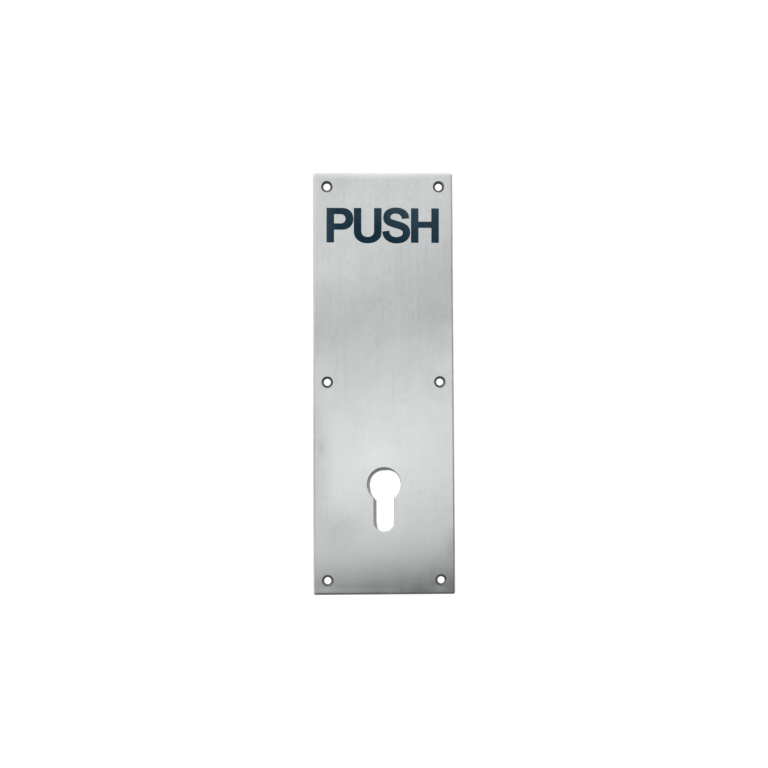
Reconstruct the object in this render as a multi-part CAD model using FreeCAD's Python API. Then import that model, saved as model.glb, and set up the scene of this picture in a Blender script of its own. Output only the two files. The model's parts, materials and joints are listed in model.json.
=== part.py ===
"""Door finger plate: a flat steel plate that is screwed to a door, cut out for a profile lock cylinder.

Millimetres. The plate stands as it does on the door: +Z up, +X to the right seen from the front, and the
front face towards -Y. The origin is the middle of the back face, which lies on the door.
"""
import FreeCAD, Part
import math
import os

# Driving dimensions: the sheet
plate_width = 75.0
plate_height = 225.0
plate_thickness = 1.5
edge_radius = 1.0            # rounding of the front edge, all the way round
face_corner_radius = 0.3     # corner of the flat face, inside the rounded edge

# Driving dimensions: the countersunk screw holes, in two columns
screw_rows = 3
screw_side_margin = 7.5      # hole centre to the left or right edge
screw_end_margin = 7.5       # centre of an end hole to the top or bottom edge
screw_diameter = 3.5
screw_clearance = 0.2        # hole over screw, on the diameter
countersink_diameter = 6.2
countersink_angle = 90.0     # included angle, degrees

# Driving dimensions: the lock cylinder, and the room that its cut-out leaves round it
cylinder_barrel_diameter = 17.0
cylinder_leg_width = 10.0
cylinder_height = 33.0
cylinder_clearance = 0.5     # on each side
cylinder_axis_height = 58.0  # barrel axis above the plate's bottom edge
cutout_edge_radius = 0.3     # deburred front edge of the cut-out

# A rounded edge takes up at most this share of the wall that carries it
WALL_SHARE = 0.9
# Cutters run this far past the faces that they open
CUT_PAST = 1.0

FRONT = FreeCAD.Vector(0, -1, 0)
BACK = FreeCAD.Vector(0, 1, 0)


def on_door(x, z):
    """A point of the back plane, by its place seen from the front."""
    return FreeCAD.Vector(x, 0, z)


def filled(curves):
    """The flat face inside a closed run of lines and arcs."""
    return Part.Face(Part.Wire([curve.toShape() for curve in curves]))


def front_edges(shape):
    """The edges that lie in the plane of the front face."""
    front_y = -plate_thickness
    flat = 1e-6
    found = []
    for edge in shape.Edges:
        box = edge.BoundBox
        if abs(box.YMin - front_y) < flat and abs(box.YMax - front_y) < flat:
            found.append(edge)
    return found


def rounded_sheet():
    """The blank: a rectangle of sheet with round corners and a rounded front edge."""
    rounding = min(edge_radius, WALL_SHARE * plate_thickness)
    corner = rounding + face_corner_radius
    outline = []
    for side, end, start_angle in ((1, 1, 0), (-1, 1, 90), (-1, -1, 180), (1, -1, 270)):
        centre = on_door(side * (plate_width / 2 - corner), end * (plate_height / 2 - corner))
        points = []
        for turn in (0, 45, 90):
            angle = math.radians(start_angle + turn)
            points.append(centre + on_door(corner * math.cos(angle), corner * math.sin(angle)))
        if outline:
            outline.append(Part.LineSegment(outline[-1].EndPoint, points[0]))
        outline.append(Part.Arc(*points))
    outline.append(Part.LineSegment(outline[-1].EndPoint, outline[0].StartPoint))
    blank = filled(outline).extrude(FRONT * plate_thickness)
    return blank.makeFillet(rounding, front_edges(blank))


def cylinder_cutter():
    """The lock cylinder's outline grown by its clearance: a round barrel over a round-ended leg."""
    barrel_r = cylinder_barrel_diameter / 2 + cylinder_clearance
    leg_r = cylinder_leg_width / 2 + cylinder_clearance
    barrel_z = cylinder_axis_height - plate_height / 2
    leg_end_z = barrel_z + barrel_r - (cylinder_height + 2 * cylinder_clearance)
    leg_centre_z = leg_end_z + leg_r
    neck_z = barrel_z - math.sqrt(barrel_r ** 2 - leg_r ** 2)
    neck_left = on_door(-leg_r, neck_z)
    neck_right = on_door(leg_r, neck_z)
    leg_left = on_door(-leg_r, leg_centre_z)
    leg_right = on_door(leg_r, leg_centre_z)
    face = filled([
        Part.Arc(neck_left, on_door(0, barrel_z + barrel_r), neck_right),
        Part.LineSegment(neck_right, leg_right),
        Part.Arc(leg_right, on_door(0, leg_end_z), leg_left),
        Part.LineSegment(leg_left, neck_left),
    ])
    face.translate(BACK * CUT_PAST)
    return face.extrude(FRONT * (plate_thickness + 2 * CUT_PAST))


def deburred(plate, cutter):
    """The plate with the front edge of its cut-out rounded."""
    room = cutter.BoundBox
    room.enlarge(CUT_PAST)
    cut_edges = [edge for edge in front_edges(plate) if room.isInside(edge.BoundBox)]
    return plate.makeFillet(min(cutout_edge_radius, WALL_SHARE * plate_thickness), cut_edges)


def screw_places():
    """Centres of the screw holes, row by row from the top."""
    column = plate_width / 2 - screw_side_margin
    top = plate_height / 2 - screw_end_margin
    pitch = 2 * top / (screw_rows - 1)
    return [on_door(side * column, top - row * pitch) for row in range(screw_rows) for side in (-1, 1)]


def screw_cutter(place):
    """What the drill and the countersink take away at one screw hole."""
    hole_r = (screw_diameter + screw_clearance) / 2
    mouth_r = countersink_diameter / 2
    slope = math.tan(math.radians(countersink_angle / 2))
    depth = (mouth_r - hole_r) / slope
    drill = Part.makeCylinder(hole_r, plate_thickness + 2 * CUT_PAST, place + BACK * CUT_PAST, FRONT)
    cone_base = place + FRONT * (plate_thickness - depth)
    cone = Part.makeCone(hole_r, mouth_r + CUT_PAST * slope, depth + CUT_PAST, cone_base, FRONT)
    return drill.fuse(cone)


def finger_plate():
    """The finished plate: the blank, its cylinder cut-out, then the countersunk screw holes."""
    cutter = cylinder_cutter()
    plate = deburred(rounded_sheet().cut(cutter), cutter)
    return plate.cut([screw_cutter(place) for place in screw_places()]).Solids[0]


def main():
    os.makedirs("parts", exist_ok=True)
    plate = finger_plate()
    print("finger_plate valid:", plate.isValid(), "volume in mm3:", round(plate.Volume, 2), "faces:", len(plate.Faces))
    plate.exportStep("parts/finger_plate.step")


main()
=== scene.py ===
# %% [markdown]
# # A door finger plate in satin steel
# A finger plate is a thin sheet of steel that is screwed to a door where hands push it, so that the paint
# behind it stays clean. This one has six countersunk screw holes, a keyhole-shaped cut-out for a profile
# lock cylinder, and four dark letters under its top edge.
#
# The plate has already been drawn at its true size. That drawing is loaded first and is never changed:
# it gives the size of the sheet and the places of the holes, and the plate modelled here stands for it.

# %% Load the measured plate
import json
import math

import bpy
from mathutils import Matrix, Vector


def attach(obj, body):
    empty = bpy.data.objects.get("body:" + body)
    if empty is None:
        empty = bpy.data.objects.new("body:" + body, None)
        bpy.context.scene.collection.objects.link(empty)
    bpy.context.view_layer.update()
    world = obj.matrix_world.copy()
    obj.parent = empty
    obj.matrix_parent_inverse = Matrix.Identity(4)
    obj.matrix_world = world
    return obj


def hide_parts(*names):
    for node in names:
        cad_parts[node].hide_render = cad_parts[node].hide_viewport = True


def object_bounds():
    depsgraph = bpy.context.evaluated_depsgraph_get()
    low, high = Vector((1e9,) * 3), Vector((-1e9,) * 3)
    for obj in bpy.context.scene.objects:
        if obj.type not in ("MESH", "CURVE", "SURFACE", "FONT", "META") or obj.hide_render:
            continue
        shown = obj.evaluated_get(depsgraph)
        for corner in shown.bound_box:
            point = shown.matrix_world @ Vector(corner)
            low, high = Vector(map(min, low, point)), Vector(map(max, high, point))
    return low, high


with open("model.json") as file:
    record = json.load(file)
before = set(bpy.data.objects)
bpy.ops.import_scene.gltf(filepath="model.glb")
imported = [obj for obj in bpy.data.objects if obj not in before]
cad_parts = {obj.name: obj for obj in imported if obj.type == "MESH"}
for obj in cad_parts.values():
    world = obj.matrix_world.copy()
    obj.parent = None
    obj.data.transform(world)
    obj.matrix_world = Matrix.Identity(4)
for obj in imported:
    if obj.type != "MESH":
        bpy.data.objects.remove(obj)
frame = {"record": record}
cad_low, cad_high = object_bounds()
MM = 0.001


def in_mm(lengths):
    """Lengths in metres as rounded millimetres, for printing."""
    return [round(length / MM, 2) for length in lengths]


print("measured plate, mm:", in_mm(cad_high - cad_low))

# %% [markdown]
# ## The blank
# The real plate starts as a rectangle sheared from sheet. In Blender that is a cube, scaled to the measured
# box. An operator acts on all that is selected, and loading leaves things selected, so a helper first makes
# one object the only selected one. A second helper moves an object's place and scale into its mesh, so that
# every finished piece sits at the origin and its patterns stay where they are painted.

# %% Shear the blank
def take(piece):
    """Makes one object the only selected one, and the active one."""
    bpy.ops.object.select_all(action="DESELECT")
    piece.select_set(True)
    bpy.context.view_layer.objects.active = piece


def settle(piece):
    """Puts an object's place, turn and scale into its mesh."""
    take(piece)
    bpy.ops.object.transform_apply(location=True, rotation=True, scale=True)


bpy.ops.object.select_all(action="DESELECT")
bpy.ops.mesh.primitive_cube_add(size=1, location=(cad_low + cad_high) / 2, scale=cad_high - cad_low)
plate = bpy.context.object
plate.name = "satin_plate"
settle(plate)
front_y = cad_low.y
back_y = cad_high.y
print("blank has", len(plate.data.polygons), "faces, front face at y =", in_mm([front_y]))

# %% [markdown]
# ## Picking edges in code
# Picking edges by where their ends lie does in code what clicking them does by hand. Select Sharp Edges comes
# first, so that only true edges are offered, not the seams between coplanar faces. The edges that pass a test
# are then the only ones selected when the piece is opened in edit mode.

# %% Define how edges are picked and rounded
SHARP_TURN = math.radians(40)


def open_with(piece, kind, chosen):
    """Opens a piece in edit mode with only the chosen edges or faces selected, given by their numbers."""
    take(piece)
    bpy.ops.object.mode_set(mode="EDIT")
    bpy.ops.mesh.select_mode(type=kind)
    bpy.ops.mesh.select_all(action="DESELECT")
    bpy.ops.object.mode_set(mode="OBJECT")
    parts = piece.data.edges if kind == "EDGE" else piece.data.polygons
    for number in chosen:
        parts[number].select = True
    bpy.ops.object.mode_set(mode="EDIT")
    print("picked", len(chosen), kind.lower() + "s of", piece.name)


def sharp_edges(piece, wanted):
    """Numbers of the sharp edges whose two ends pass a test."""
    take(piece)
    bpy.ops.object.mode_set(mode="EDIT")
    bpy.ops.mesh.select_mode(type="EDGE")
    bpy.ops.mesh.select_all(action="DESELECT")
    bpy.ops.mesh.edges_select_sharp(sharpness=SHARP_TURN)
    bpy.ops.object.mode_set(mode="OBJECT")
    points = piece.data.vertices
    sharp = [edge for edge in piece.data.edges if edge.select]
    return [edge.index for edge in sharp if wanted(*[points[end].co for end in edge.vertices])]


def round_over(piece, wanted, radius, steps):
    """Rounds the sharp edges that pass a test, in that many steps."""
    open_with(piece, "EDGE", sharp_edges(piece, wanted))
    bpy.ops.mesh.bevel(offset=radius, segments=steps, affect="EDGES")
    bpy.ops.object.mode_set(mode="OBJECT")
    print("rounded", piece.name, "has", len(piece.data.polygons), "faces")


print("sharp edges turn more than", round(math.degrees(SHARP_TURN)), "degrees")

# %% [markdown]
# ## Round corners and a soft front edge
# The corners of the sheet are rounded off, and the front edge is linished to a soft radius so that it doesn't
# catch a hand. A live Bevel modifier could do it too, but it would also round the holes that come later. So
# both are bevels made now: first the four edges that run through the sheet, then all round the front face.

# %% Round the corners and the front edge
CORNER_RADIUS = 1.3 * MM
CORNER_STEPS = 12
EDGE_RADIUS = 1.0 * MM
EDGE_STEPS = 8
TINY = 1e-6


def runs_through_sheet(start, end):
    """True for an edge that joins the front to the back."""
    return abs(start.y - end.y) > TINY


def on_front(start, end):
    """True for an edge that lies in the front face."""
    return max(start.y, end.y) < front_y + TINY


round_over(plate, runs_through_sheet, CORNER_RADIUS, CORNER_STEPS)
round_over(plate, on_front, EDGE_RADIUS, EDGE_STEPS)

# %% [markdown]
# ## The cut-out for the lock cylinder
# A profile cylinder is a round barrel over a narrower leg with a round end, and the cut-out follows it with a
# little room all round. On the real plate a punch or a laser takes it out in one go. Here a keyhole-shaped
# cutter does it with the Boolean modifier, which keeps the arcs exact and leaves a solid to use again later.
# The cutter is a cylinder for the barrel, joined to half a cylinder for the leg, whose flat side is extruded
# up to the barrel's middle so that the sides of the leg stay upright.

# %% Make round cutters and combine solids
CUT_PAST = 1.0 * MM


def round_cutter(name, x, z, radius, sides, first_y=front_y - CUT_PAST, last_y=back_y + CUT_PAST):
    """A cylinder across the sheet, from one depth to another."""
    bpy.ops.object.select_all(action="DESELECT")
    bpy.ops.mesh.primitive_cylinder_add(vertices=sides, radius=radius, depth=last_y - first_y,
                                        location=(x, (first_y + last_y) / 2, z),
                                        rotation=(math.pi / 2, 0, 0))
    cutter = bpy.context.object
    cutter.name = name
    settle(cutter)
    return cutter


def combine(piece, other, operation):
    """Cuts another solid out of a piece, or joins it to it, and keeps the other."""
    take(piece)
    bpy.ops.object.modifier_add(type="BOOLEAN")
    boolean = piece.modifiers[-1]
    boolean.operation = operation
    boolean.solver = "EXACT"
    boolean.object = other
    bpy.ops.object.modifier_apply(modifier=boolean.name)
    print(operation.lower(), "of", piece.name, "and", other.name, "has", len(piece.data.polygons), "faces")


print("cutters reach past the sheet by, mm:", in_mm([CUT_PAST]))

# %% Cut the keyhole
LEG_RADIUS = 5.5 * MM
CUTOUT_HEIGHT = 34.0 * MM
BARREL_SIDES = 160
LEG_SIDES = 96
mounts = {mount["name"]: mount for mount in frame["record"]["mounts"]}
barrel_radius = mounts["cylinder_barrel_hole"]["dims"]["r_mm"] * MM
barrel_z = mounts["cylinder_barrel_hole"]["pos_m"][2]
leg_z = barrel_z + barrel_radius - CUTOUT_HEIGHT + LEG_RADIUS
keyhole_cutter = round_cutter("keyhole_cutter", 0, barrel_z, barrel_radius, BARREL_SIDES)
leg_cutter = round_cutter("leg_cutter", 0, leg_z, LEG_RADIUS, LEG_SIDES)
take(leg_cutter)
bpy.ops.object.mode_set(mode="EDIT")
bpy.ops.mesh.select_all(action="SELECT")
bpy.ops.mesh.bisect(plane_co=(0, 0, leg_z), plane_no=(0, 0, 1), use_fill=True, clear_outer=True)
bpy.ops.mesh.extrude_region_move(TRANSFORM_OT_translate={"value": (0, 0, barrel_z - leg_z)})
bpy.ops.object.mode_set(mode="OBJECT")
combine(keyhole_cutter, leg_cutter, "UNION")
bpy.data.objects.remove(leg_cutter)
combine(plate, keyhole_cutter, "DIFFERENCE")

# %% [markdown]
# ## Deburr the cut-out
# A cut edge is sharp, so the front edge of the cut-out is rounded over with a small bevel. The edges to pick
# lie on the front face and close to the cut-out, and each of them turns from the face into the cut wall.

# %% Round over the front edge of the cut-out
DEBURR_RADIUS = 0.3 * MM
DEBURR_STEPS = 4
cutout_low_z = leg_z - LEG_RADIUS
cutout_high_z = barrel_z + barrel_radius


def near_cutout(point):
    """True within a little more than the cut-out's own box."""
    within_width = abs(point.x) < barrel_radius + CUT_PAST
    return within_width and cutout_low_z - CUT_PAST < point.z < cutout_high_z + CUT_PAST


def on_cutout_rim(start, end):
    """True for an edge of the front face at the cut-out."""
    return on_front(start, end) and near_cutout(start) and near_cutout(end)


round_over(plate, on_cutout_rim, DEBURR_RADIUS, DEBURR_STEPS)
print("cut-out from z =", in_mm([cutout_low_z, cutout_high_z]))

# %% [markdown]
# ## Countersunk screw holes
# Each hole is drilled, then opened towards the front with a 90 degree countersink, so that a screw's head
# sits flush. The cutter is modelled once: a cylinder for the drill, whose front end is extruded past the face
# and scaled out into a cone. It is then copied to the six places, and the copies cut the plate together,
# because one Boolean with six separate solids is quicker and cleaner than six in a row.

# %% Model one drill with its countersink
SINK_RADIUS = 3.1 * MM
DRILL_SIDES = 72
FACING = 0.9
hole_radius = mounts["corner_screw_holes"]["dims"]["hole_r_mm"] * MM
sink_depth = SINK_RADIUS - hole_radius
sink_root_y = front_y + sink_depth
cone_end_y = front_y - CUT_PAST
drill = round_cutter("drill", 0, 0, hole_radius, DRILL_SIDES, first_y=sink_root_y)
front_end = [face.index for face in drill.data.polygons if face.normal.y < -FACING]
open_with(drill, "FACE", front_end)
bpy.ops.mesh.extrude_region_move(TRANSFORM_OT_translate={"value": (0, cone_end_y - sink_root_y, 0)})
cone_spread = (SINK_RADIUS + CUT_PAST) / hole_radius
bpy.ops.transform.resize(value=(cone_spread, 1, cone_spread), center_override=(0, cone_end_y, 0))
bpy.ops.object.mode_set(mode="OBJECT")
print("drill and countersink, mm:", in_mm(drill.dimensions))

# %% Copy it to the six places and cut the holes
column_x = mounts["corner_screw_holes"]["dims"]["spacing_x_mm"] * MM / 2
row_z = mounts["corner_screw_holes"]["dims"]["spacing_y_mm"] * MM / 2
hole_places = [Vector((x, 0, z)) for z in (row_z, 0, -row_z) for x in (-column_x, column_x)]
drills = []
for hole_place in hole_places:
    take(drill)
    bpy.ops.object.duplicate()
    bpy.ops.transform.translate(value=hole_place)
    settle(bpy.context.object)
    drills.append(bpy.context.object)
bpy.data.objects.remove(drill)
take(drills[0])
for copy in drills:
    copy.select_set(True)
bpy.ops.object.join()
screw_cutter = bpy.context.object
screw_cutter.name = "screw_cutter"
combine(plate, screw_cutter, "DIFFERENCE")
bpy.data.objects.remove(screw_cutter)

# %% [markdown]
# ## The letters
# The four letters are plain bold capitals. A font could give them, but its shapes would differ from the real
# ones, so they are drawn here as outlines with only the points that each shape needs. A point holds its place
# in millimetres, and where a curve arrives or leaves, the direction in which the line travels there, in
# degrees. None means a straight line. The handles of each curve are then a little longer than those of a
# quarter ellipse, which gives the full rounds of bold capitals.

# %% Name the kinds of point
RIGHT, UP, LEFT, DOWN = 0, 90, 180, 270


def corner(x, z):
    """A point between two straight lines."""
    return (x, z, None, None)


def smooth(x, z, heading):
    """A point where the curve runs on in one direction."""
    return (x, z, heading, heading)


def from_curve(x, z, heading):
    """A point where a curve ends and a straight line starts."""
    return (x, z, heading, None)


def to_curve(x, z, heading):
    """A point where a straight line ends and a curve starts."""
    return (x, z, None, heading)


print("headings, degrees:", RIGHT, UP, LEFT, DOWN)

# %% Draw the outlines
CAP_HEIGHT = 18.7
STEM = 4.05
U_WIDTH = 14.9
H_WIDTH = 15.0
SPINE_DOWN, SPINE_UP = -16, 164
P_OUTLINES = [
    [corner(0, 0), corner(STEM, 0), corner(STEM, 6.9), to_curve(8.4, 6.9, RIGHT), smooth(14.4, 12.8, UP),
     from_curve(8.4, CAP_HEIGHT, LEFT), corner(0, CAP_HEIGHT)],
    [corner(STEM, 10.35), to_curve(7.5, 10.35, RIGHT), smooth(10.15, 12.8, UP), from_curve(7.5, 15.25, LEFT),
     corner(STEM, 15.25)],
]
U_OUTLINES = [
    [corner(0, CAP_HEIGHT), to_curve(0, 6.0, DOWN), smooth(U_WIDTH / 2, -0.4, RIGHT),
     from_curve(U_WIDTH, 5.5, UP), corner(U_WIDTH, CAP_HEIGHT), corner(U_WIDTH - STEM, CAP_HEIGHT),
     to_curve(U_WIDTH - STEM, 6.3, DOWN), smooth(U_WIDTH / 2, 3.1, LEFT), from_curve(STEM, 6.3, UP),
     corner(STEM, CAP_HEIGHT)],
]
S_OUTLINES = [
    [to_curve(14.5, 13.2, UP), smooth(7.35, 19.05, LEFT), smooth(0.5, 13.7, DOWN),
     smooth(7.4, 7.8, SPINE_DOWN), smooth(11.0, 5.3, DOWN), smooth(7.4, 3.1, LEFT),
     from_curve(3.8, 6.55, UP), to_curve(0.05, 6.05, DOWN), smooth(7.8, -0.4, RIGHT), smooth(15.0, 5.5, UP),
     smooth(7.8, 11.9, SPINE_UP), smooth(4.45, 13.85, UP), smooth(7.1, 15.7, RIGHT),
     from_curve(10.45, 12.8, DOWN)],
]
H_OUTLINES = [
    [corner(0, 0), corner(STEM, 0), corner(STEM, 8.1), corner(H_WIDTH - STEM, 8.1), corner(H_WIDTH - STEM, 0),
     corner(H_WIDTH, 0), corner(H_WIDTH, CAP_HEIGHT), corner(H_WIDTH - STEM, CAP_HEIGHT),
     corner(H_WIDTH - STEM, 11.5), corner(STEM, 11.5), corner(STEM, CAP_HEIGHT), corner(0, CAP_HEIGHT)],
]
LETTERS = [(0.0, P_OUTLINES), (14.6, U_OUTLINES), (29.85, S_OUTLINES), (45.25, H_OUTLINES)]
word_length = LETTERS[-1][0] + H_WIDTH
print("word is", word_length, "mm long, with", sum(len(outlines) for _, outlines in LETTERS), "outlines")

# %% Turn the outlines into one flat curve
CURVE_STEPS = 14
CURVE_FULLNESS = 0.60


def handle(point, other, heading, way):
    """The end of a curve's handle at a point: along its heading, forwards or backwards."""
    along = Vector((math.cos(math.radians(heading)), math.sin(math.radians(heading)), 0))
    reach = CURVE_FULLNESS * abs((other - point).dot(along))
    return point + along * reach * way


def draw_outline(curve, points, shift):
    """Adds one closed outline to a curve, moved along the word by a shift."""
    spline = curve.splines.new("BEZIER")
    spline.bezier_points.add(len(points) - 1)
    spline.use_cyclic_u = True
    spline.resolution_u = CURVE_STEPS
    places = [Vector((x + shift, z, 0)) * MM for x, z, arrive, leave in points]
    for i, (x, z, arrive, leave) in enumerate(points):
        knot = spline.bezier_points[i]
        knot.co = places[i]
        knot.handle_left_type = "VECTOR" if arrive is None else "FREE"
        knot.handle_right_type = "VECTOR" if leave is None else "FREE"
        if arrive is not None:
            knot.handle_left = handle(places[i], places[i - 1], arrive, -1)
        if leave is not None:
            knot.handle_right = handle(places[i], places[(i + 1) % len(points)], leave, 1)


bpy.ops.object.select_all(action="DESELECT")
bpy.ops.curve.primitive_bezier_curve_add()
word = bpy.context.object
word.name = "word"
word.data.splines.clear()
word.data.dimensions = "2D"
word.data.fill_mode = "BOTH"
for letter_x, outlines in LETTERS:
    for outline in outlines:
        draw_outline(word.data, outline, letter_x - word_length / 2)
print("word holds", len(word.data.splines), "closed curves")

# %% [markdown]
# ## Engrave the letters and fill them
# The letters are engraved a little way into the face and filled with dark paint, which dries slightly below
# the surface. Extruding the flat curve gives a solid of the letters. It is made a mesh, its doubled points
# are merged, and then it is stood upright on the plate, with the trace of tilt that the real word has. Two
# such solids are needed: one that reaches out of the face and cuts the engraving, and a thinner one that
# stays in it as the paint.

# %% Engrave and fill
CAPS_BELOW_TOP = 19.06 * MM
WORD_TILT = math.radians(0.25)
WORD_MIDDLE = -0.15 * MM
ENGRAVING_DEPTH = 0.2 * MM
PAINT_BELOW_FACE = 0.04 * MM
baseline_z = cad_high.z - CAPS_BELOW_TOP - CAP_HEIGHT * MM


def letter_solid(name, first_y, last_y):
    """The word as a closed mesh between two depths of the sheet."""
    take(word)
    bpy.ops.object.duplicate()
    solid = bpy.context.object
    solid.name = name
    solid.data.extrude = (last_y - first_y) / 2
    bpy.ops.object.convert(target="MESH")
    solid = bpy.context.object
    bpy.ops.object.mode_set(mode="EDIT")
    bpy.ops.mesh.select_all(action="SELECT")
    bpy.ops.mesh.remove_doubles(threshold=TINY)
    bpy.ops.mesh.normals_make_consistent(inside=False)
    bpy.ops.object.mode_set(mode="OBJECT")
    solid.rotation_euler = (math.pi / 2, WORD_TILT, 0)
    solid.location = (WORD_MIDDLE, (first_y + last_y) / 2, baseline_z)
    settle(solid)
    return solid


engraving_y = front_y + ENGRAVING_DEPTH
letter_cutter = letter_solid("letter_cutter", front_y - CUT_PAST, engraving_y)
letter_fill = letter_solid("letter_fill", front_y + PAINT_BELOW_FACE, engraving_y)
combine(plate, letter_cutter, "DIFFERENCE")
for used_up in (word, letter_cutter):
    bpy.data.objects.remove(used_up)
print("paint, mm:", in_mm(letter_fill.dimensions))

# %% [markdown]
# ## Shade the roundings, keep the face flat
# Smooth shading hides the facets of the roundings and holes, but it would also bend the light on the big flat
# face, because a face that meets a rounding shares its points. Shading smooth by angle keeps the sharp edges,
# and the Weighted Normal modifier then lets the largest face at each point decide, so the face stays flat.

# %% Shade both pieces
SMOOTH_TURN = math.radians(30)


def shade(piece):
    """Smooth shading that leaves sharp edges sharp and large faces flat."""
    take(piece)
    bpy.ops.object.shade_smooth_by_angle(angle=SMOOTH_TURN)
    bpy.ops.object.modifier_add(type="WEIGHTED_NORMAL")
    weighted = piece.modifiers[-1]
    weighted.keep_sharp = True
    bpy.ops.object.modifier_apply(modifier=weighted.name)
    print("shaded", piece.name, "with", len(piece.data.polygons), "faces")


shade(plate)
shade(letter_fill)

# %% [markdown]
# ## Start a finish
# Every finish is a node material that reads the object's own coordinates in metres, so its grain has a real
# size and stays on the steel. Adding nodes and joining their sockets by hand takes many lines, so three short
# helpers do it: one starts a material, one makes a node with its inputs set or joined, and one joins sockets
# to the shader by name.

# %% Define how a finish is started and joined
def start_finish(name):
    """A new material, its node tree, its shader and the object's own coordinates."""
    finish = bpy.data.materials.new(name)
    finish.use_nodes = True
    tree = finish.node_tree
    coordinates = tree.nodes.new("ShaderNodeTexCoord")
    return finish, tree, tree.nodes["Principled BSDF"], coordinates.outputs["Object"]


def node(tree, kind, **inputs):
    """A new node, with each named input joined to a socket or set to a value."""
    made = tree.nodes.new("ShaderNode" + kind)
    for name, value in inputs.items():
        socket = made.inputs[name.replace("_", " ")]
        if isinstance(value, bpy.types.NodeSocket):
            tree.links.new(value, socket)
        else:
            socket.default_value = value
    return made


def join(tree, shader, **sockets):
    """Joins sockets to a shader's inputs by name."""
    for name, socket in sockets.items():
        tree.links.new(socket, shader.inputs[name.replace("_", " ")])


print("helpers made: start_finish, node, join")

# %% [markdown]
# ## Marks in the steel
# Brushed, turned and cut steel differ mostly in how their marks are stretched: one noise texture, with cells
# of a given size in millimetres, gives all of them. Several such textures are added up, each with its own
# weight, round a middle grey of one half.

# %% Define the marks and their sum
MIDDLE_GREY = 0.5


def marks(tree, place, cell_mm, detail=2.0):
    """Noise whose cells have a size in millimetres along X, Y and Z."""
    stretched = node(tree, "Mapping", Vector=place, Scale=[1 / (side * MM) for side in cell_mm])
    return node(tree, "TexNoise", Vector=stretched.outputs["Vector"], Scale=1.0, Detail=detail).outputs["Fac"]


def plus(tree, total, mark, weight):
    """A total with a mark added to it by weight."""
    step = node(tree, "Math")
    step.operation = "MULTIPLY_ADD"
    tree.links.new(mark, step.inputs[0])
    step.inputs[1].default_value = weight
    if isinstance(total, float):
        step.inputs[2].default_value = total
    else:
        tree.links.new(total, step.inputs[2])
    return step.outputs["Value"]


def added_up(tree, weighted_marks):
    """The sum of several marks by weight, which is middle grey where all of them are."""
    total = MIDDLE_GREY - sum(weight for mark, weight in weighted_marks) * MIDDLE_GREY
    for mark, weight in weighted_marks:
        total = plus(tree, total, mark, weight)
    return total


print("marks lie round a grey of", MIDDLE_GREY)

# %% [markdown]
# ## From marks to colour, gloss and relief
# A sum of marks is only a number at each place. A colour ramp turns it into a tone between a dark and a light
# steel, a Map Range node into a roughness, and a Bump node into a relief with a height in millimetres. Bump
# is enough here, because the scratches are thousandths of a millimetre deep.

# %% Define what the marks do
SPREAD = 0.2


def between(tree, mark, low, high):
    """A value that runs from low to high as a mark runs from below middle grey to above it."""
    ranged = node(tree, "MapRange", Value=mark, From_Min=MIDDLE_GREY - SPREAD, From_Max=MIDDLE_GREY + SPREAD,
                  To_Min=low, To_Max=high)
    return ranged.outputs["Result"]


def tinted(tree, mark, dark, light, spread=SPREAD):
    """A colour that runs from dark to light as a mark runs from below middle grey to above it."""
    ramp = node(tree, "ValToRGB", Fac=mark)
    ramp.color_ramp.elements[0].position = MIDDLE_GREY - spread
    ramp.color_ramp.elements[0].color = (*dark, 1)
    ramp.color_ramp.elements[1].position = MIDDLE_GREY + spread
    ramp.color_ramp.elements[1].color = (*light, 1)
    return ramp.outputs["Color"]


def relief(tree, shader, mark, height_mm):
    """Bump of a given height on a shader."""
    bump = node(tree, "Bump", Height=mark, Strength=1.0, Distance=height_mm * MM)
    tree.links.new(bump.outputs["Normal"], shader.inputs["Normal"])


print("tones run from", MIDDLE_GREY - SPREAD, "to", MIDDLE_GREY + SPREAD)

# %% [markdown]
# ## Wear and painted light
# A faint scratch crosses the face over the letters. The other soft marks are painted light and shade:
# painted highlights along the top and bottom rims, under the two lower holes and above the cut-out,
# painted shade down the left edge and at the lower right, and a few lighter and darker patches. They could
# be painted on an image, but a few soft spots, each an ellipse that fades to nothing at its rim, are enough
# and need no picture. A spot has a weight, above zero where it is brighter and below where it is duller,
# then its middle, half its width and half its height in millimetres, and its turn in degrees.

# %% Define the spots of wear
# A scratch, then painted highlights, painted shade and lighter and darker patches on the satin face.
WEAR_AND_PAINTED_LIGHT = [
    (0.10, (6.7, 96.7, 7.6, 0.9, -10)),       # faint scratch over the letters
    (0.10, (13.4, 96.1, 0.8, 2.4, 0)),        # hooked end of the scratch
    (0.24, (-5.0, 111.5, 60.0, 3.0, 0)),      # painted highlight along the top rim
    (0.22, (-16.0, -110.4, 44.0, 2.2, 0)),    # painted highlight along the bottom rim
    (0.35, (-31.0, -109.6, 10.0, 3.2, 0)),    # painted reflection under the lower left hole
    (0.45, (29.5, -110.0, 7.0, 3.6, 0)),      # painted reflection under the lower right hole
    (-0.09, (-33.3, -34.5, 3.4, 6.4, 0)),     # darker touch by the left edge
    (-0.22, (-36.5, -44.0, 12.0, 50.0, 0)),   # painted shade down the left edge
    (-0.13, (-24.0, -79.0, 17.0, 17.0, 0)),   # darker patch left of the cut-out
    (0.08, (-2.0, -40.0, 17.0, 13.0, 0)),     # painted highlight above the cut-out
    (-0.10, (-24.0, 108.0, 16.0, 14.0, 0)),   # darker patch by the upper left hole
    (-0.09, (27.0, 36.0, 14.0, 16.0, 0)),     # darker patch over the right middle hole
    (-0.17, (36.0, -87.0, 6.0, 14.0, 0)),     # painted shade at the lower right edge
    (0.09, (33.0, 9.0, 9.0, 12.0, 0)),        # lighter patch by the right middle hole
]


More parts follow.
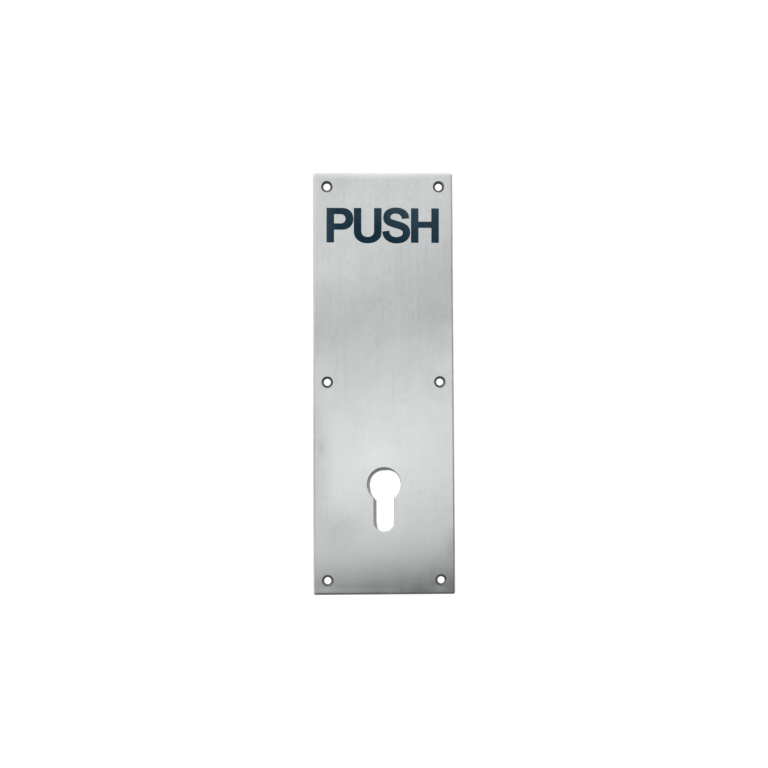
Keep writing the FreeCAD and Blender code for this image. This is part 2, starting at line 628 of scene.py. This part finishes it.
def spot(tree, place, x_mm, z_mm, half_width_mm, half_height_mm, turn):
    """A soft spot on the front face: one in its middle, fading to nothing at its rim."""
    reach = [half_width_mm * MM, half_height_mm * MM, half_height_mm * MM]
    centred = node(tree, "Mapping", Vector=place, Location=(x_mm * MM, front_y, z_mm * MM),
                   Rotation=(0, math.radians(turn), 0), Scale=reach)
    centred.vector_type = "TEXTURE"
    distance = node(tree, "VectorMath")
    distance.operation = "LENGTH"
    tree.links.new(centred.outputs["Vector"], distance.inputs[0])
    faded = node(tree, "MapRange", Value=distance.outputs["Value"], To_Min=1.0, To_Max=0.0)
    faded.interpolation_type = "SMOOTHSTEP"
    return faded.outputs["Result"]


print("spots of wear:", len(WEAR_AND_PAINTED_LIGHT))

# %% [markdown]
# ## Satin steel
# The face is brushed up and down with an abrasive belt. The belt leaves fine upright scratches, so
# reflections smear sideways and stay fairly crisp up and down: that is an anisotropic shader whose tangent
# lies across the grain. A fine bump alone could smear them too, but would need far more samples. The normal
# crossed with the grain direction gives the tangent, also round the edges. On top of the fine grain lie
# broader streaks and soft clouds, where the belt pressed more or less, and then the scratch and the painted
# light and shade. The colour ramp spreads from black to white here, so that these marks can reach tones
# beyond those of the grain.

# %% Make the satin finish
GRAIN_DIRECTION = (0, 0.05, 1)
SMEAR = 0.88
SATIN_DARK = (0.352, 0.360, 0.360)
SATIN_LIGHT = (0.837, 0.860, 0.860)
SATIN_SPREAD = 0.5
SATIN_ROUGHNESS = (0.21, 0.25)
SATIN_RELIEF_MM = 0.001
GRAIN_CELL_MM = (1.5, 1.5, 3)
STREAK_CELL_MM = (2.6, 2.6, 60)
CLOUD_CELL_MM = (12, 12, 16)


def brush(tree, shader):
    """Makes a shader's reflections smear across the grain."""
    surface = node(tree, "NewGeometry")
    across = node(tree, "VectorMath")
    across.operation = "CROSS_PRODUCT"
    tree.links.new(surface.outputs["Normal"], across.inputs[0])
    across.inputs[1].default_value = GRAIN_DIRECTION
    tree.links.new(across.outputs["Vector"], shader.inputs["Tangent"])
    shader.inputs["Anisotropic"].default_value = SMEAR


def make_satin():
    """Brushed steel with grain, streaks, clouds, a scratch, painted highlights and painted shade."""
    finish, tree, shader, place = start_finish("satin_steel")
    grain = marks(tree, place, GRAIN_CELL_MM)
    streaks = marks(tree, place, STREAK_CELL_MM)
    clouds = marks(tree, place, CLOUD_CELL_MM)
    tone = added_up(tree, [(grain, 0.18), (streaks, 0.125), (clouds, 0.225)])
    # The scratch and the painted highlights and painted shade go onto the tone here.
    for weight, shape in WEAR_AND_PAINTED_LIGHT:
        tone = plus(tree, tone, spot(tree, place, *shape), weight)
    gloss = added_up(tree, [(grain, 0.2), (streaks, 0.3), (clouds, 0.4)])
    shader.inputs["Metallic"].default_value = 1.0
    join(tree, shader, Base_Color=tinted(tree, tone, SATIN_DARK, SATIN_LIGHT, SATIN_SPREAD),
         Roughness=between(tree, gloss, *SATIN_ROUGHNESS))
    brush(tree, shader)
    relief(tree, shader, grain, SATIN_RELIEF_MM)
    return finish


satin = make_satin()
print(satin.name, "has", len(satin.node_tree.nodes), "nodes")

# %% [markdown]
# ## The other steel surfaces
# A countersink is turned, which leaves fine rings down the cone, and its steel is painted much darker than
# steel, as painted shade for the dark ring round each hole. The wall and the deburred rim of the cut-out are
# rougher, with the striations of the cut straight through the sheet, and painted paler than steel, as a
# painted highlight along the rim. The back was never brushed: it has the duller finish of rolled sheet. Each
# of them is the same steel with marks stretched along another axis, so one function makes all three.

# %% Make the turned, cut and rolled finishes
ROUGHNESS_SWING = 0.05
SOFT_CLOUD_CELL_MM = (9, 9, 16)


def make_steel(name, cell_mm, dark, light, roughness, height_mm):
    """Plain steel with one kind of tool mark over soft clouds."""
    finish, tree, shader, place = start_finish(name)
    lines = marks(tree, place, cell_mm, detail=3.0)
    clouds = marks(tree, place, SOFT_CLOUD_CELL_MM)
    tone = added_up(tree, [(lines, 0.6), (clouds, 0.5)])
    shader.inputs["Metallic"].default_value = 1.0
    join(tree, shader, Base_Color=tinted(tree, tone, dark, light),
         Roughness=between(tree, tone, roughness - ROUGHNESS_SWING, roughness + ROUGHNESS_SWING))
    relief(tree, shader, lines, height_mm)
    return finish


# The turned steel's dark colour is painted shade for the dark countersinks.
turned = make_steel("turned_steel_painted_shade", cell_mm=(6, 0.08, 6), dark=(0.18, 0.183, 0.187),
                    light=(0.26, 0.263, 0.267), roughness=0.24, height_mm=0.003)
# The cut steel's pale colour is a painted highlight along the wall and rim of the cut-out.
cut = make_steel("cut_steel_painted_highlight", cell_mm=(0.12, 5, 0.12), dark=(0.84, 0.84, 0.84),
                 light=(0.92, 0.92, 0.92), roughness=0.6, height_mm=0.004)
rolled = make_steel("rolled_steel", cell_mm=(0.5, 0.5, 40), dark=(0.50, 0.50, 0.505),
                    light=(0.58, 0.58, 0.585), roughness=0.36, height_mm=0.003)
print("finishes:", [finish.name for finish in (turned, cut, rolled)])

# %% [markdown]
# ## Letter paint
# The letters are filled with a dark blue-grey enamel, wiped in by hand. It is darkest low in the middle of
# the word and paler at both ends. One plain colour would look printed, so the same soft spots as on the steel
# vary its tone. Its skin has a very shallow orange-peel texture, and it is only slightly glossy, so the
# shader's specular level is low.

# %% Make the paint
PAINT_DARK = (0.001, 0.025, 0.049)
PAINT_LIGHT = (0.028, 0.061, 0.091)
PAINT_ROUGHNESS = (0.36, 0.46)
PAINT_SPECULAR = 0.12
PAINT_RELIEF_MM = 0.003
UNEVEN_CELL_MM = (3.5, 3.5, 5)
SKIN_CELL_MM = (0.45, 0.45, 0.45)
PAINT_TONE_SPOTS = [
    (-0.23, (-3.0, 74.0, 48.0, 30.0, 0)),   # darker low in the middle
    (0.26, (13.0, 95.0, 28.0, 22.0, 0)),    # paler at the upper right
    (0.20, (-31.0, 83.0, 6.5, 30.0, 0)),    # paler at the left end
]


def make_paint():
    """Dark enamel, uneven, darker and paler in spots."""
    finish, tree, shader, place = start_finish("letter_paint")
    uneven = marks(tree, place, UNEVEN_CELL_MM)
    skin = marks(tree, place, SKIN_CELL_MM)
    tone = added_up(tree, [(uneven, 0.35), (skin, 0.12)])
    for weight, shape in PAINT_TONE_SPOTS:
        tone = plus(tree, tone, spot(tree, place, *shape), weight)
    gloss = added_up(tree, [(uneven, 0.8), (skin, 0.3)])
    join(tree, shader, Base_Color=tinted(tree, tone, PAINT_DARK, PAINT_LIGHT),
         Roughness=between(tree, gloss, *PAINT_ROUGHNESS))
    shader.inputs["Specular IOR Level"].default_value = PAINT_SPECULAR
    relief(tree, shader, skin, PAINT_RELIEF_MM)
    return finish


paint = make_paint()
letter_fill.data.materials.clear()
letter_fill.data.materials.append(paint)
print(paint.name, "has", len(paint.node_tree.nodes), "nodes")

# %% [markdown]
# ## Give each surface its finish
# The plate is one piece, so its finishes are material slots, and each face takes the slot that its place and
# its direction ask for: the back by its normal, the countersinks and hole walls by their distance from a
# hole, and the wall and rim of the cut-out by lying there and facing neither front nor back. All the rest is
# satin. Picking the faces by hand would do as well, but would have to be done again after every change.

# %% Assign the finishes by place
plate.data.materials.clear()
finishes = [satin, turned, cut, rolled]
for finish in finishes:
    plate.data.materials.append(finish)


def finish_for(face):
    """The finish that a face of the plate takes."""
    faces_front_or_back = abs(face.normal.y) > FACING
    hole_gap = min((face.center - place).xz.length for place in hole_places)
    if face.normal.y > FACING:
        return rolled
    if hole_gap < SINK_RADIUS and not faces_front_or_back:
        return turned
    if near_cutout(face.center) and not faces_front_or_back:
        return cut
    return satin


for face in plate.data.polygons:
    face.material_index = finishes.index(finish_for(face))
for number, finish in enumerate(finishes):
    print(finish.name, "on", sum(face.material_index == number for face in plate.data.polygons), "faces")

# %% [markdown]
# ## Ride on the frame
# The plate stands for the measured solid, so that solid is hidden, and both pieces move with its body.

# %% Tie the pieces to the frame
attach(plate, "root")
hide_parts("finger_plate")
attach(letter_fill, "root")

# %% [markdown]
# ## White paper behind the cut-out
# The plate was laid on white paper, and light from the upper left throws the edge of the cut-out onto it as a
# thin dark crescent. A slip of paper of just the cut-out's shape, a hair behind the plate, catches that
# shadow and hides nothing of the back. The keyhole cutter already has that shape, so the slip is a slice of
# it. In the photograph the white was cleaned up close to the rim, so the crescent keeps nearly one width. The
# slip's face is therefore inset and its middle deleted, which leaves a band of paper along the rim.

# %% Make the paper
PAPER_DARK = (0.80, 0.80, 0.79)
PAPER_LIGHT = (0.86, 0.86, 0.86)
PAPER_ROUGHNESS = 0.9
FIBRE_CELL_MM = (0.8, 0.8, 0.8)


def make_paper():
    """White paper with a trace of fibre."""
    finish, tree, shader, place = start_finish("white_paper")
    fibres = marks(tree, place, FIBRE_CELL_MM)
    shader.inputs["Roughness"].default_value = PAPER_ROUGHNESS
    join(tree, shader, Base_Color=tinted(tree, fibres, PAPER_DARK, PAPER_LIGHT))
    return finish


def catch_shadows_only(sheet):
    """Shows only the shadows that fall on a sheet, and keeps it out of reflections."""
    sheet.is_shadow_catcher = True
    sheet.visible_glossy = False
    sheet.visible_diffuse = False
    sheet.visible_transmission = False
    sheet.visible_shadow = False


paper = make_paper()
print(paper.name, "has", len(paper.node_tree.nodes), "nodes")

# %% Slice the slip from the cutter
PAPER_GAP = 0.2 * MM
PAPER_BAND = 1.5 * MM
slip = keyhole_cutter
slip.name = "paper_slip"
take(slip)
bpy.ops.object.mode_set(mode="EDIT")
bpy.ops.mesh.select_all(action="SELECT")
bpy.ops.mesh.bisect(plane_co=(0, back_y + PAPER_GAP, 0), plane_no=(0, 1, 0), use_fill=True,
                    clear_inner=True, clear_outer=True)
bpy.ops.mesh.inset(thickness=PAPER_BAND)
bpy.ops.mesh.delete(type="FACE")
bpy.ops.object.mode_set(mode="OBJECT")
slip.data.materials.clear()
slip.data.materials.append(paper)
catch_shadows_only(slip)
print("slip has", len(slip.data.polygons), "faces, mm:", in_mm(slip.dimensions))

# %% [markdown]
# ## A pale floor
# The plate hangs upright as on a door, well above a pale floor. The floor too only shows the shadows that
# fall on it, so that it blends into the white of the room.

# %% Lay the floor
FLOOR_SIZE = 0.9
FLOOR_Z = -0.45
bpy.ops.object.select_all(action="DESELECT")
bpy.ops.mesh.primitive_plane_add(size=FLOOR_SIZE, location=(0, 0, FLOOR_Z))
floor = bpy.context.object
floor.name = "pale_floor"
floor.data.materials.append(paper)
catch_shadows_only(floor)
print("floor at z =", in_mm([FLOOR_Z]))

# %% [markdown]
# ## Camera
# The photograph looks at the plate almost straight on, from a little below and to the left of its middle,
# with a trace of roll. The camera aims close to the middle of the plate, and its lens is worked out from the
# distance, so that the frame is as wide there as it is in the photograph.

# %% Set up the camera
CAMERA_PLACE = Vector((-0.021, -0.70, -0.037))
CAMERA_AIM = Vector((0.2, 0, -1.0)) * MM
CAMERA_ROLL = math.radians(-0.26)
FRAME_WIDTH = 0.4095
camera_target = (cad_low + cad_high) / 2 + CAMERA_AIM
look = camera_target - CAMERA_PLACE
bpy.ops.object.camera_add(location=CAMERA_PLACE)
camera = bpy.context.object
camera.rotation_euler = look.to_track_quat("-Z", "Y").to_euler()
camera.rotation_euler.rotate_axis("Z", CAMERA_ROLL)
camera.data.lens = camera.data.sensor_width * look.length / FRAME_WIDTH
bpy.context.scene.camera = camera
print("lens, mm:", round(camera.data.lens, 2))

# %% [markdown]
# ## Softboxes
# Satin steel looks like what stands in front of it, so its light is a bank of softboxes round the camera. The
# face shows them as soft bands: bright near the top, dimmer under the letters, brightest at the cut-out, and
# dark at the foot, below the lowest softbox. Each hangs at its own depth, so that no two lie in one plane,
# and most are tilted a little, because the bands of the real face run slightly aslant. A softbox is given by
# how bright its surface is, since that is what the steel mirrors, and its power follows from its area.

# %% Hang the softboxes
def softbox(name, y, z, width, height, tilt, radiance):
    """A rectangular light that faces the plate, given by how bright its surface is."""
    turn = (math.pi / 2, math.radians(tilt), 0)
    bpy.ops.object.light_add(type="AREA", location=(0, y, z), rotation=turn)
    lamp = bpy.context.object
    lamp.name = name
    lamp.data.shape = "RECTANGLE"
    lamp.data.size = width
    lamp.data.size_y = height
    lamp.data.energy = radiance * math.pi * width * height
    print(name, "gives", round(lamp.data.energy, 2), "W")


softbox("high_softbox", y=-0.72, z=0.38, width=0.6, height=0.44, tilt=-7, radiance=0.97)
softbox("middle_softbox", y=-0.73, z=0.125, width=0.6, height=0.084, tilt=0, radiance=0.72)
softbox("waist_softbox", y=-0.74, z=0.0415, width=0.5, height=0.083, tilt=-5, radiance=1.06)
softbox("low_softbox", y=-0.71, z=-0.0425, width=0.4, height=0.085, tilt=-9, radiance=1.45)
softbox("foot_softbox", y=-0.70, z=-0.1272, width=0.4, height=0.0845, tilt=-9, radiance=1.19)

# %% [markdown]
# ## A sun for the crescent
# The crescent in the cut-out needs one small, strong light from the upper left. A sun would also put hard
# highlights on the rounded edges, which the soft light of the photograph doesn't have, so light linking lets
# it shine on the slip of paper only. The plate still throws its shadow there.

# %% Set the sun
SUN_FROM = Vector((-1.1, -1.0, 0.95))
SUN_STRENGTH = 9.0
SUN_SPREAD = math.radians(8)
bpy.ops.object.light_add(type="SUN")
sun = bpy.context.object
sun.rotation_euler = SUN_FROM.to_track_quat("Z", "Y").to_euler()
sun.data.energy = SUN_STRENGTH
sun.data.angle = SUN_SPREAD
sunlit = bpy.data.collections.new("sunlit_paper")
sunlit.objects.link(slip)
sun.light_linking.receiver_collection = sunlit

# %% [markdown]
# ## The room
# The camera sees a plain white room. The steel sees another: bright overhead and dim underfoot, a little
# brighter on the left than on the right, and nearly dark where the camera stands, so that the softboxes alone
# light the face while the room lights the rounded edges and the back. The world's shader knows which kind of
# ray asks, so one mix of two backgrounds does both.

# %% Define how the room's brightness runs
world = bpy.data.worlds.new("white_room")
bpy.context.scene.world = world
world.use_nodes = True
room = world.node_tree
direction = node(room, "TexCoord").outputs["Generated"]


def fade(axis, start, end, low, high):
    """Runs smoothly from low to high as a direction of the room turns along an axis from start to end."""
    product = node(room, "VectorMath")
    product.operation = "DOT_PRODUCT"
    room.links.new(direction, product.inputs[0])
    product.inputs[1].default_value = axis
    ranged = node(room, "MapRange", Value=product.outputs["Value"], From_Min=start, From_Max=end,
                  To_Min=low, To_Max=high)
    ranged.interpolation_type = "SMOOTHSTEP"
    return ranged.outputs["Result"]


def times(first, second):
    """The product of two values of the room."""
    product = node(room, "Math")
    product.operation = "MULTIPLY"
    room.links.new(first, product.inputs[0])
    room.links.new(second, product.inputs[1])
    return product.outputs["Value"]


print("room starts with", len(room.nodes), "nodes")

# %% Paint the room
ROOM_FOOT, ROOM_TOP = 0.34, 1.45
FOOT_UP_TO, TOP_FROM = -0.8, 0.5
ROOM_LEFT, ROOM_RIGHT = 1.12, 0.75
DARK_SIDE = Vector((0.20, -1.0, -0.12)).normalized()
DARK_INSIDE, DARK_OUTSIDE = math.radians(24), math.radians(42)
DARK_SHARE = 0.05
ROOM_TINT = (0.775, 0.80, 0.80, 1)
SEEN_STRENGTH = 1.05
overhead = fade((0, 0, 1), FOOT_UP_TO, TOP_FROM, ROOM_FOOT, ROOM_TOP)
sideways = fade((1, 0, 0), -1, 1, ROOM_LEFT, ROOM_RIGHT)
ahead = fade(DARK_SIDE, math.cos(DARK_OUTSIDE), math.cos(DARK_INSIDE), 1, DARK_SHARE)
lit = node(room, "Background", Color=ROOM_TINT, Strength=times(times(overhead, sideways), ahead))
seen = room.nodes["Background"]
seen.inputs["Color"].default_value = (1, 1, 1, 1)
seen.inputs["Strength"].default_value = SEEN_STRENGTH
choice = node(room, "MixShader")
rays = node(room, "LightPath")
room.links.new(rays.outputs["Is Camera Ray"], choice.inputs[0])
room.links.new(lit.outputs["Background"], choice.inputs[1])
room.links.new(seen.outputs["Background"], choice.inputs[2])
room.links.new(choice.outputs["Shader"], room.nodes["World Output"].inputs["Surface"])
bpy.context.scene.view_settings.view_transform = "Standard"
print("room has", len(room.nodes), "nodes")
